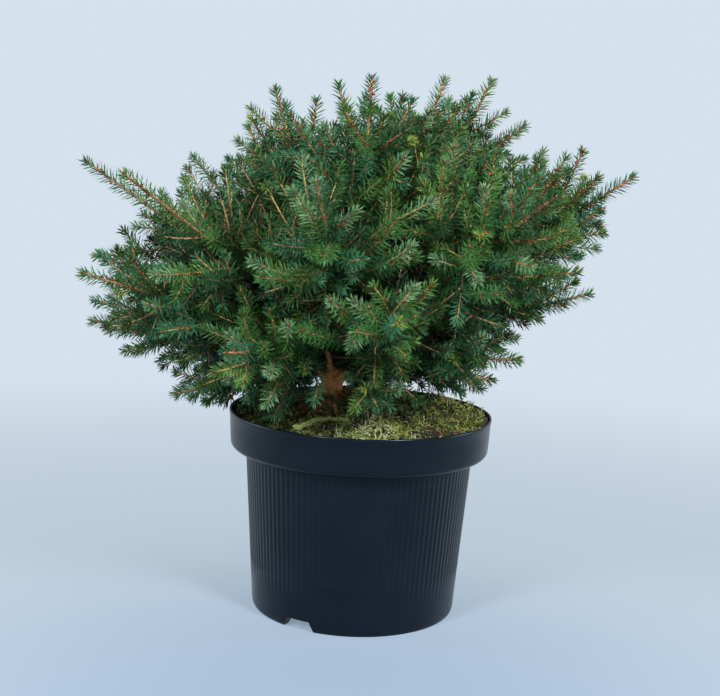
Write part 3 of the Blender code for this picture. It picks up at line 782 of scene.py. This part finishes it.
plan = crown_plan()
limbs = []
for index, (name, direction, reach, height) in enumerate(plan):
    path = bough_path(direction, reach, height, BOUGH_RINGS)
    radii = np.interp(np.arange(len(path)), [0, 1, len(path) - 1], [0.0040, 0.0034, 0.0021])
    scaly = lambda spot, run, seed=index: 0.0006 * (1 - bark_scale(spot.x + spot.z, run, 0.0032, seed))
    limbs.append((tube(path, radii, BOUGH_COLUMNS, scaly), tube_faces(len(path), BOUGH_COLUMNS)))
boughs = joined("boughs_bark", limbs, bark_finish)
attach(boughs, "root")
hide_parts(*[f"bough_{name}" for name, _, _, _ in plan])

# Twigs
# Each bough runs on as a stem that reaches the crown's edge. Every year's growth ends in a
# whorl of side shoots, straight and forward-pointing, orange-tan while young, and each
# side shoot forks in the same way. Red-brown buds sit at the tips.

WINGS = 3
WHORLS = (
    (0.31, 58, 0.33),
    (0.43, 40, 0.50),
    (0.69, 34, 0.27),
)
FINER_WHORLS = (
    (0.37, 50, 0.46),
    (0.49, 42, 0.43),
    (0.55, 38, 0.38),
    (0.62, 36, 0.33),
    (0.76, 36, 0.21),
    (0.84, 40, 0.13),
)
BOUGH_WHORLS = ((0.25, 66, 0.048), (0.42, 64, 0.052), (0.58, 62, 0.056), (0.74, 58, 0.060), (0.92, 54, 0.064))
SHOOT_LENGTHS = (1.0, 0.86, 0.72, 0.60, 0.50)
SHORTEST = 0.017
TIP_TRIM = 0.005
WHORL_STEP = 0.0045
WHORL_TURN_DRIFT = 0.10
WHORL_SPREAD_DRIFT = 6
ROLL_SPAN = 2
YEAR_STEPS = (0.033, 0.027, 0.022)
TIP_SPACING = 0.0141
INNER_SPACING = 0.0135
RIM_ROOM = 1.5
BORDER_PLAY = 0.007
INNER_PLAY = 0.045
EDGE_FOOT = 0.152
EDGE_TOP = 0.240
EDGE_FOOT_LEAN = -0.20
EDGE_TOP_LEAN = 0.14
EDGE_RISES = (-12, 24)
EDGE_RIGHT_DROP = 6
LEAN_RISES = (-8, 40)
WINDOW_MIDDLE = -0.026
WINDOW_HALF = 0.015
WINDOW_FLOOR = 0.190
WINDOW_CEILING = 0.230
WINDOW_RISE = 0.17
WINDOW_START = -0.012
SOIL_GAP = 0.021
LEFT_HANG = 0.013
LEFT_START = 0.045
LEFT_SPAN = 0.030
RIM_GAP = 0.004
RIM_STRIP = 0.015
UNDERSIDE_RISE = 0.40
FRONT_LIFT = 0.022
LEFT_LIFT_SHARE = 0.2
FRONT_START = 0.020
FRONT_SPAN = 0.050
LIFT_REACH = 0.135
LIFT_FADE = 0.045
LOW_SPRAY_ROOT = Vector((0.025, -0.062, 0.211))
LOW_SPRAY_TIP = Vector((0.001, -0.088, 0.183))
TWIG_COLUMNS = 5
TWIG_RINGS = 5
RUST_LENGTH = 0.026
RUST_DEPTH = 0.80
RUST_HEIGHT = 0.30
TAN_DEPTH = 0.72
SHOOT_TAN = (0.47, 0.295, 0.105)
SHOOT_BROWN = (0.31, 0.190, 0.075)
SHOOT_RUST = (0.42, 0.155, 0.048)
WOOD_BROWN = (0.34, 0.190, 0.075)
BUD_RED = (0.33, 0.100, 0.032)
UPPER_CROWN = 0.22
BUD_STEP = 0.015
BUD_REACH = 0.080

borders = []
for index, (_, own, _, _) in enumerate(plan):
    borders.append([(own - other[1]).normalized() for k, other in enumerate(plan) if k != index])


def crown_underside(point):
    """The lowest that foliage hangs: over the soil inside the pot, and rising outside it."""
    away = math.hypot(point.x, point.y)
    left = smooth_step((-point.x - LEFT_START) / LEFT_SPAN)
    lift = FRONT_LIFT * smooth_step((-point.y - FRONT_START) / FRONT_SPAN)
    lift *= (1 - smooth_step((away - LIFT_REACH) / LIFT_FADE)) * (1 - (1 - LEFT_LIFT_SHARE) * left)
    if away < RIM_RADIUS - RIM_STRIP:
        return soil_height(point.x, point.y) + SOIL_GAP - LEFT_HANG * left + lift
    return POT_HEIGHT + RIM_GAP + lift + UNDERSIDE_RISE * max(0.0, away - RIM_RADIUS - RIM_STRIP)


def crown_edge(out):
    """How far a side shoot may end from the heart, in the direction of out."""
    rise = math.degrees(math.asin(out.z / out.length))
    rise -= EDGE_RIGHT_DROP * max(0.0, out.x / out.length)
    share = smooth_step((rise - EDGE_RISES[0]) / (EDGE_RISES[1] - EDGE_RISES[0]))
    leaning = smooth_step((rise - LEAN_RISES[0]) / (LEAN_RISES[1] - LEAN_RISES[0]))
    lean = EDGE_FOOT_LEAN + (EDGE_TOP_LEAN - EDGE_FOOT_LEAN) * leaning
    return (EDGE_FOOT + (EDGE_TOP - EDGE_FOOT) * share) * (1 + lean * out.x / out.length)


def in_window(point):
    """Whether a point is in the gap between two front boughs where the trunk shows."""
    if point.y > WINDOW_START or abs(point.x - WINDOW_MIDDLE) > WINDOW_HALF:
        return False
    return WINDOW_FLOOR < point.z + WINDOW_RISE * point.y < WINDOW_CEILING


def in_space(points, index):
    """Whether points keep to a bough's own space, over the soil and clear of the pot."""
    for point in points:
        out = point - HEART
        play = INNER_PLAY if out.length < 0.55 * plan[index][2] else BORDER_PLAY
        if min(out.dot(border) for border in borders[index]) < -play:
            return False
        if point.z < crown_underside(point) or in_window(point):
            return False
    return True


bends = random.Random(CROWN_SEED)


class Shoot:
    """One twig: its centre line, its thickness at both ends, and how its needles start."""

    def __init__(self, index, root, heading, end, thick, thin, order, roll):
        self.index = index
        self.order = order
        self.thick = thick
        self.thin = thin
        self.roll = roll
        self.length = (end - root).length
        self.depth = (end - HEART).length / plan[index][2]
        middle = root + heading * self.length * 0.5
        self.path = []
        for k in range(TWIG_RINGS):
            t = k / (TWIG_RINGS - 1)
            self.path.append((1 - t) ** 2 * root + 2 * t * (1 - t) * middle + t * t * end)

    def at(self, share):
        place = share * (TWIG_RINGS - 1)
        low = min(int(place), TWIG_RINGS - 2)
        return self.path[low].lerp(self.path[low + 1], place - low)

    def heading(self, share):
        low = min(int(share * (TWIG_RINGS - 1)), TWIG_RINGS - 2)
        return (self.path[low + 1] - self.path[low]).normalized()


tips = {}
CELL = 0.024


def crowded(point, room):
    """Whether another twig already ends near a point."""
    cell = [int(math.floor(value / CELL)) for value in point]
    for dx in (-1, 0, 1):
        for dy in (-1, 0, 1):
            for dz in (-1, 0, 1):
                for other in tips.get((cell[0] + dx, cell[1] + dy, cell[2] + dz), ()):
                    if (other - point).length < room:
                        return True
    return False


def note_tip(point):
    cell = tuple(int(math.floor(value / CELL)) for value in point)
    tips.setdefault(cell, []).append(point)


def grow(shoots, index, root, heading, length, thick, order, roll, crowd):
    """Adds a side shoot if it keeps to its space, shortened if need be. Returns it or None."""
    for trim in SHOOT_LENGTHS:
        run = length * trim - TIP_TRIM
        if run < SHORTEST:
            return None
        end = root + heading * run
        out = end - HEART
        room = crowd * (RIM_ROOM if out.length > 0.85 * crown_edge(out) else 1.0)
        if out.length + TIP_TRIM > crown_edge(out) or crowded(end, room):
            continue
        if in_space((root.lerp(end, 0.5), end), index):
            sway = Vector((bends.gauss(0, 1), bends.gauss(0, 1), -0.6))
            shoot = Shoot(index, root, (heading + 0.22 * sway).normalized(), end, thick, 0.0005, order, roll)
            shoots.append(shoot)
            note_tip(end)
            return shoot
    return None


def whorl(shoots, index, root, forward, roll, spread, length, thick, order, chance, count, crowd):
    """Side shoots round a stem, evenly turned and all leaning forward."""
    side, other = across(forward)
    for k in range(count):
        drift = chance.uniform(-WHORL_TURN_DRIFT, WHORL_TURN_DRIFT)
        angle = roll + 2 * math.pi * (k + 0.5 + drift) / count
        out = math.cos(angle) * side + math.sin(angle) * other
        tilt = math.radians(spread + chance.uniform(-WHORL_SPREAD_DRIFT, WHORL_SPREAD_DRIFT))
        heading = math.cos(tilt) * forward + math.sin(tilt) * out
        needle_roll = chance.uniform(0, ROLL_SPAN)
        spot = root + forward * (k - 1) * WHORL_STEP
        grow(shoots, index, spot, heading, length, thick, order, needle_roll, crowd)


def grow_crown():
    shoots = []
    rolls = []
    for index, (_, direction, reach, _) in enumerate(plan):
        chance = random.Random(CROWN_SEED * 100 + index)
        begin = HEART + direction * reach * BOUGH_SHARE
        tip = HEART + direction * (reach - TIP_TRIM)
        roll = chance.uniform(0, ROLL_SPAN)
        rolls.append(roll)
        shoots.append(Shoot(index, begin, direction, tip, 0.0020, 0.0010, 0, roll))
        note_tip(tip)
        for share, spread, length in WHORLS:
            root = HEART + direction * reach * share
            whorl(shoots, index, root, direction, roll, spread, reach * length, 0.0012, 1, chance, WINGS, 0.0)
    for share, spread, length in FINER_WHORLS:
        for index, (_, direction, reach, _) in enumerate(plan):
            chance = random.Random(CROWN_SEED * 1000 + index * 10 + share)
            root = HEART + direction * reach * share
            roll = rolls[index] + chance.uniform(0, ROLL_SPAN)
            run = reach * length
            whorl(shoots, index, root, direction, roll, spread, run, 0.0010, 1, chance, WINGS, TIP_SPACING)
    for index, (_, direction, reach, height) in enumerate(plan):
        chance = random.Random(CROWN_SEED * 5000 + index)
        path = bough_path(direction, reach, height, BOUGH_RINGS)
        for share, spread, length in BOUGH_WHORLS:
            place = int(share * BOUGH_RINGS)
            forward = (path[place + 1] - path[place]).normalized()
            roll = chance.uniform(0, 6)
            root = path[place]
            whorl(shoots, index, root, forward, roll, spread, length, 0.0010, 2, chance, WINGS, INNER_SPACING)
    for step in YEAR_STEPS:
        for parent in list(shoots):
            fork_yearly(shoots, parent, step)
    hang_low_spray(shoots)
    return shoots


def hang_low_spray(shoots):
    """One long side shoot that hangs down over the moss at the front."""
    nearest = min(
        (shoot for shoot in shoots if shoot.order),
        key=lambda shoot: min((point - LOW_SPRAY_ROOT).length for point in shoot.path),
    )
    root = min(nearest.path, key=lambda point: (point - LOW_SPRAY_ROOT).length)
    heading = (LOW_SPRAY_TIP - root).normalized()
    shoots.append(Shoot(nearest.index, root, heading, LOW_SPRAY_TIP, 0.0010, 0.0005, 2, 0.4))


def fork_yearly(shoots, parent, step):
    """A whorl of side twigs at each year's end of a shoot, counted back from its tip."""
    chance = random.Random(f"{parent.index} {parent.length:.5f} {step}")
    for year in range(1, int(parent.length / step) + 1):
        back = step * (year + chance.uniform(-0.12, 0.12))
        share = 1 - back / parent.length
        if share < 0.12:
            continue
        length = min(0.058, back * chance.uniform(0.70, 0.95))
        roll = chance.uniform(0, 2 * math.pi)
        spread = chance.uniform(40, 54)
        count = chance.choice((2, 3, 3))
        forward = parent.heading(share)
        root = parent.at(share)
        index = parent.index
        whorl(shoots, index, root, forward, roll, spread, length, 0.0008, 2, chance, count, TIP_SPACING)


shoots = grow_crown()


def twig_shape(shoot, first, last, rings):
    """The part of a twig from one share of its length to another."""
    shares = np.linspace(first, last, rings)
    path = [shoot.at(share) for share in shares]
    radii = shoot.thick + (shoot.thin - shoot.thick) * shares
    return tube(path, radii, TWIG_COLUMNS), tube_faces(rings, TWIG_COLUMNS)


def rusty_from(shoot):
    """The share of a twig's length past which its bark is the last year's, still rust-red."""
    if shoot.depth < RUST_DEPTH or shoot.path[-1].z < RUST_HEIGHT:
        return 1.0
    return max(0.0, 1 - RUST_LENGTH / shoot.length)


def make_buds(material):
    """A stout end bud at every tip, and smaller ones beside it, at the forks and along the shoots."""
    draw = np.random.default_rng(61)
    roots = []
    ways = []
    lengths = []
    for shoot in shoots:
        forward = shoot.heading(1.0)
        strong = shoot.depth > RUST_DEPTH and shoot.path[-1].z > UPPER_CROWN
        for k in range(3 if strong else 1):
            lean = Vector(draw.normal(size=3)) * (0.15 if k == 0 else 0.75)
            roots.append(shoot.path[-1] - forward * (0.0008 if k == 0 else 0.0020))
            ways.append((forward + lean).normalized())
            lengths.append(0.0042 if strong and k == 0 else 0.0026)
        for _ in range(3 if strong and shoot.order else 0):
            lean = Vector(draw.normal(size=3)) * 0.9
            roots.append(shoot.path[0])
            ways.append((shoot.heading(0.0) + lean).normalized())
            lengths.append(0.0040)
        for back in np.arange(BUD_STEP, min(shoot.length, BUD_REACH) if strong else 0, BUD_STEP):
            share = 1 - (back + draw.uniform(-0.3, 0.3) * BUD_STEP) / shoot.length
            for _ in range(2):
                roots.append(shoot.at(share))
                ways.append((shoot.heading(share) + Vector(draw.normal(size=3)) * 1.2).normalized())
                lengths.append(0.0044)
    lengths = np.array(lengths)
    points, faces = spikes(np.array(roots), np.array(ways), lengths, lengths * 0.30, 0.45)
    return piece_from("buds", points, faces, material)


def bark_of(name, colour, roughness):
    """Thin bark, raised in the small cushions that needles stand on, and mottled darker at random: partly the
    bark's own mottling, partly painted shadow of the needles.
    """
    material, feed, start = finish(name, Roughness=roughness)
    dark = tuple(0.30 * part for part in colour)
    # Random darker patches: partly the bark's own mottling, partly painted shadow of the needles.
    mottle_and_needle_shadow = start.grain(380, 3).between(0.38, 0.62) * 0.70 + start.grain(38, 1).between(0.35, 0.65) * 0.30
    feed("Base Color", mottle_and_needle_shadow.blend(colour, dark))
    bump = {"Strength": 0.6, "Distance": 0.0006, "Height": start.grain(1100, 2)}
    feed("Normal", start.node("ShaderNodeBump", {}, bump))
    return material


older = [twig_shape(shoot, 0, rusty_from(shoot), TWIG_RINGS) for shoot in shoots if shoot.order == 0]
stems = joined("stems", older, bark_of("older_bark", WOOD_BROWN, 0.85))
tan_parts = []
brown_parts = []
rust_parts = []
for shoot in shoots:
    turn = rusty_from(shoot)
    if shoot.order and turn > 0.05:
        parts = tan_parts if shoot.depth > TAN_DEPTH else brown_parts
        parts.append(twig_shape(shoot, 0, turn, TWIG_RINGS))
    if turn < 1.0:
        rust_parts.append(twig_shape(shoot, turn if turn > 0.05 else 0, 1, 3))
tan_twigs = joined("tan_twigs", tan_parts, bark_of("tan_bark", SHOOT_TAN, 0.7))
brown_twigs = joined("brown_twigs", brown_parts, bark_of("brown_bark", SHOOT_BROWN, 0.8))
rust_twigs = joined("rust_twigs", rust_parts, bark_of("rust_bark", SHOOT_RUST, 0.65))
buds = make_buds(bark_of("bud_scales", BUD_RED, 0.5))
for wood in (stems, tan_twigs, brown_twigs, rust_twigs, buds):
    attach(wood, "root")

# Needles
# Stiff evergreen needles point forward from every shoot. They stand all round the shoots that
# grow outward, and are combed to both sides of the others. They are paler at the ends of some outer shoots.

OUTER_NEEDLES = 2450
INNER_NEEDLES = 1350
OUTER_DEPTH = 0.74
NEEDLE_LENGTH = 0.0107
NEEDLE_HALF_WIDTH = 0.00050
NEEDLE_FOOT = 0.70
NEEDLE_MIDDLE = 0.62
NEEDLE_BOW = 0.030
NEEDLE_TURN = 0.75
COMB_RANKS = (-26, 16, -4, 36, -14, 26)
SPIRAL_FROM = 0.72
TUFT = 0.005
TUFT_NEEDLES = 14
GOLDEN_TURN = math.radians(137.508)
LIGHT_LENGTH = 0.016
BUDDING_LENGTH = 0.0045
TINTS = {
    "shade": (0.0050, 0.0220, 0.0065),
    "deep": (0.0145, 0.058, 0.0175),
    "olive": (0.0300, 0.075, 0.0150),
    "blue": (0.0300, 0.112, 0.0470),
    "mid": (0.0390, 0.118, 0.0280),
    "fresh": (0.070, 0.155, 0.033),
    "light": (0.095, 0.195, 0.088),
    "budding": (0.170, 0.240, 0.045),
}


def tint_of(shoot, chance):
    """A shoot's tint goes by how far out it ends, with some drawn lots."""
    if shoot.depth < 0.55:
        return chance.choice(("shade", "shade", "shade", "deep", "olive"))
    if shoot.depth < OUTER_DEPTH:
        return chance.choice(("shade", "shade", "deep", "olive", "blue", "blue", "mid"))
    return chance.choice(("deep", "olive", "blue", "blue", "mid", "mid", "mid", "fresh"))


def needle_rows(shoot, draw):
    """Roots, ways and lengths of a shoot's needles, in a spiral from its foot to its tip."""
    bare = 0.003 if shoot.order else 0.002
    along = np.arange(bare, shoot.length, 1 / (OUTER_NEEDLES if shoot.depth > OUTER_DEPTH else INNER_NEEDLES))
    tuft = np.linspace(shoot.length - TUFT, shoot.length, TUFT_NEEDLES)
    share = np.concatenate([along, tuft]) / shoot.length
    count = len(share)
    path = np.array(shoot.path)
    place = share * (TWIG_RINGS - 1)
    low = np.minimum(place.astype(int), TWIG_RINGS - 2)
    part = (place - low)[:, None]
    centre = path[low] * (1 - part) + path[low + 1] * part
    forward = unit_rows(path[low + 1] - path[low])
    helper = np.where(np.abs(forward[:, 2:3]) < 0.9, [[0.0, 0.0, 1.0]], [[1.0, 0.0, 0.0]])
    side = unit_rows(np.cross(forward, helper))
    other = np.cross(forward, side)
    turn = np.arange(count) * GOLDEN_TURN + shoot.roll + draw.normal(0, 0.06, count)
    round_it = np.cos(turn)[:, None] * side + np.sin(turn)[:, None] * other
    light = unit_rows(centre - np.array(HEART)) + [0, 0, 0.3]
    along_light = np.sum(light * forward, axis=1, keepdims=True)
    lift = unit_rows(light - along_light * forward)
    hand = np.where(np.arange(count) % 2, 1.0, -1.0)
    rank = np.array(COMB_RANKS)[np.arange(count) // 2 % len(COMB_RANKS)]
    rank = np.radians(rank + draw.normal(0, 5, count))
    combed = (hand * np.cos(rank))[:, None] * np.cross(forward, lift) + np.sin(rank)[:, None] * lift
    spiral = (np.arange(count) >= len(along)) | (along_light[:, 0] > SPIRAL_FROM)
    out = np.where(spiral[:, None], round_it, combed)
    left = (1 - share) * shoot.length
    loose = np.where(left < TUFT, 10.0, 2.0)
    tilt = np.interp(left, [0, 0.003, 0.010, 0.03], [30, 42, 55, 62]) + draw.normal(0, 1, count) * loose
    tilt = np.radians(tilt)
    ways = unit_rows(np.cos(tilt)[:, None] * forward + np.sin(tilt)[:, None] * out)
    radius = shoot.thick + (shoot.thin - shoot.thick) * share
    roots = centre + out * (radius * 0.6)[:, None]
    lengths = NEEDLE_LENGTH * np.interp(left, [0, 0.006, 0.018], [0.66, 0.84, 1.0])
    lengths = lengths * draw.uniform(0.86, 1.06, count)
    return roots, ways, lengths, left


def blades(roots, ways, lengths, draw):
    """Needles as narrow bowed blades of three faces, turned at random round their own length."""
    count = len(roots)
    lean = unit_rows(roots - np.array(HEART)) * 0.6 + [0, 0, 0.4] + draw.normal(size=(count, 3)) * NEEDLE_TURN
    face = unit_rows(lean - ways * np.sum(lean * ways, axis=1, keepdims=True))
    side = np.cross(ways, face) * NEEDLE_HALF_WIDTH
    middle = roots + ways * (lengths * NEEDLE_MIDDLE)[:, None] + face * (lengths * NEEDLE_BOW)[:, None]
    tip = roots + ways * lengths[:, None]
    foot = side * NEEDLE_FOOT
    points = np.stack([roots - foot, roots + foot, middle + side, middle - side, tip], axis=1)
    pattern = np.array([[0, 1, 2], [0, 2, 3], [3, 2, 4]])
    faces = pattern[None] + 5 * np.arange(count)[:, None, None]
    return points.reshape(-1, 3), faces.reshape(-1, 3)


sprays = {tint: [] for tint in TINTS}
chance = random.Random(62)
draw = np.random.default_rng(63)
for shoot in shoots:
    roots, ways, lengths, left = needle_rows(shoot, draw)
    tint = tint_of(shoot, chance)
    end_tint = tint
    end = left < 0
    if shoot.depth > OUTER_DEPTH:
        lot = chance.random()
        if lot < 0.045:
            end_tint = "budding"
            end = left < BUDDING_LENGTH
        elif lot < 0.26:
            end_tint = "light"
            end = left < LIGHT_LENGTH
    for name, chosen in ((tint, ~end), (end_tint, end)):
        sprays[name].append((roots[chosen], ways[chosen], lengths[chosen]))

for tint, rows in sprays.items():
    roots, ways, lengths = (np.concatenate([row[k] for row in rows]) for k in range(3))
    green, _, _ = finish(
        f"needle_{tint}", Base_Color=(*TINTS[tint], 1.0), Roughness=0.45, Specular_IOR_Level=0.20
    )
    points, faces = blades(roots, ways, lengths, draw)
    needles = piece_from(f"needles_{tint}", points, faces, green, smooth=False)
    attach(needles, "root")
    if tint == "mid":
        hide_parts(*[f"mass_{name}" for name, _, _, _ in plan])

# Floor, light and camera
# A pale studio floor under soft light from above and from both sides. Its colour is painted
# lighter further from the front, where less lamp light falls, and it glows with painted light,
# dimmer near the front and turning to the backdrop colour far off.

BACKDROP = (0.665, 0.761, 0.847, 1.0)
FLOOR_NEAR = (0.26, 0.33, 0.42)
FLOOR_FAR = (0.42, 0.50, 0.59)
PAINTED_GLOW_NEAR = (0.371, 0.491, 0.638)
PAINTED_GLOW_FAR = (0.515, 0.610, 0.701)
FRONT = (0, -0.30, 0)

floor_finish, feed, start = finish("studio_floor", Roughness=0.7)
nodes = floor_finish.node_tree.nodes
place = start.node("ShaderNodeNewGeometry")
away = start.node("ShaderNodeVectorMath", {"operation": "DISTANCE"}, {0: place, 1: FRONT}, output=1)
# Painted light: the floor's colour grows lighter away from the front, where the lamps' light grows weaker.
feed("Base Color", away.between(0.10, 0.55).blend(FLOOR_NEAR, FLOOR_FAR))
# Painted light: the floor glows, dimmer near the front, paler further back and the backdrop colour far off.
# The glow is half of the floor's look near the front and all of it far off.
near_painted_glow = away.between(0.08, 0.50).blend(PAINTED_GLOW_NEAR, PAINTED_GLOW_FAR)
painted_glow_colour = away.between(0.60, 1.50).blend(near_painted_glow, BACKDROP[:3])
glow = start.node("ShaderNodeEmission", {}, {"Color": painted_glow_colour})
lit_floor = Signal(start.tree, nodes["Principled BSDF"].outputs[0])
share = away.between(0.15, 0.70) * 0.50 + 0.50
faded = start.node("ShaderNodeMixShader", {}, {0: share, 1: lit_floor, 2: glow})
start.feed(nodes["Material Output"].inputs["Surface"], faded)
corners = [(-60, -60, 0), (60, -60, 0), (60, 60, 0), (-60, 60, 0)]
floor = piece_from("floor", corners, [(0, 1, 2, 3)], floor_finish)

world = bpy.data.worlds.new("studio")
bpy.context.scene.world = world
world.use_nodes = True
air = Signal(world.node_tree)
seen = air.node("ShaderNodeLightPath")
way = air.node("ShaderNodeTexCoord")
front = (0 - air.node("ShaderNodeSeparateXYZ", {}, {"Vector": way}, output=1)).between(0.0, 0.85)
soft = 0.44 - front * 0.36
room = world.node_tree.nodes["Background"]
room.inputs["Color"].default_value = BACKDROP
air.feed(room.inputs["Strength"], seen * (1 - soft) + soft)
bpy.context.scene.view_settings.view_transform = "Standard"


def soft_light(name, spot, aim, size, power, colour=(1.0, 1.0, 1.0)):
    lamp = bpy.data.lights.new(name, "AREA")
    lamp.color = colour
    lamp.shape = "DISK"
    lamp.size = size
    lamp.energy = power
    made = bpy.data.objects.new(name, lamp)
    made.location = spot
    made.rotation_euler = (Vector(aim) - Vector(spot)).to_track_quat("-Z", "Y").to_euler()
    bpy.context.scene.collection.objects.link(made)


soft_light("key", (1.0, -1.3, 1.35), (0, 0, 0.25), 0.5, 48)
soft_light("fill", (-1.0, -1.4, 1.25), (0, 0, 0.25), 0.5, 42)
soft_light("front", (0.1, -1.7, 0.75), (0, 0, 0.2), 0.5, 3)
soft_light("right_side", (1.6, 0.15, 0.35), (0, 0, 0.20), 0.8, 11, (0.62, 0.84, 1.0))
soft_light("left_side", (-1.6, 0.15, 0.35), (0, 0, 0.20), 0.8, 12, (0.62, 0.84, 1.0))

CAMERA_SPOT = Vector((-0.003, -1.098, 0.397))
PITCH = math.radians(8.9)
ROLL = math.radians(2.6)
FOCAL_PIXELS = 1300
IMAGE_WIDTH = 720
ahead = Vector((0, math.cos(PITCH), -math.sin(PITCH)))
level_right = Vector((1, 0, 0))
level_up = level_right.cross(ahead)
right = math.cos(ROLL) * level_right + math.sin(ROLL) * level_up
up = right.cross(ahead)
lens = bpy.data.cameras.new("camera")
lens.sensor_width = 36
lens.lens = FOCAL_PIXELS / IMAGE_WIDTH * lens.sensor_width
camera = bpy.data.objects.new("camera", lens)
camera.matrix_world = Matrix.Translation(CAMERA_SPOT) @ Matrix((right, up, -ahead)).transposed().to_4x4()
bpy.context.scene.collection.objects.link(camera)
bpy.context.scene.camera = camera
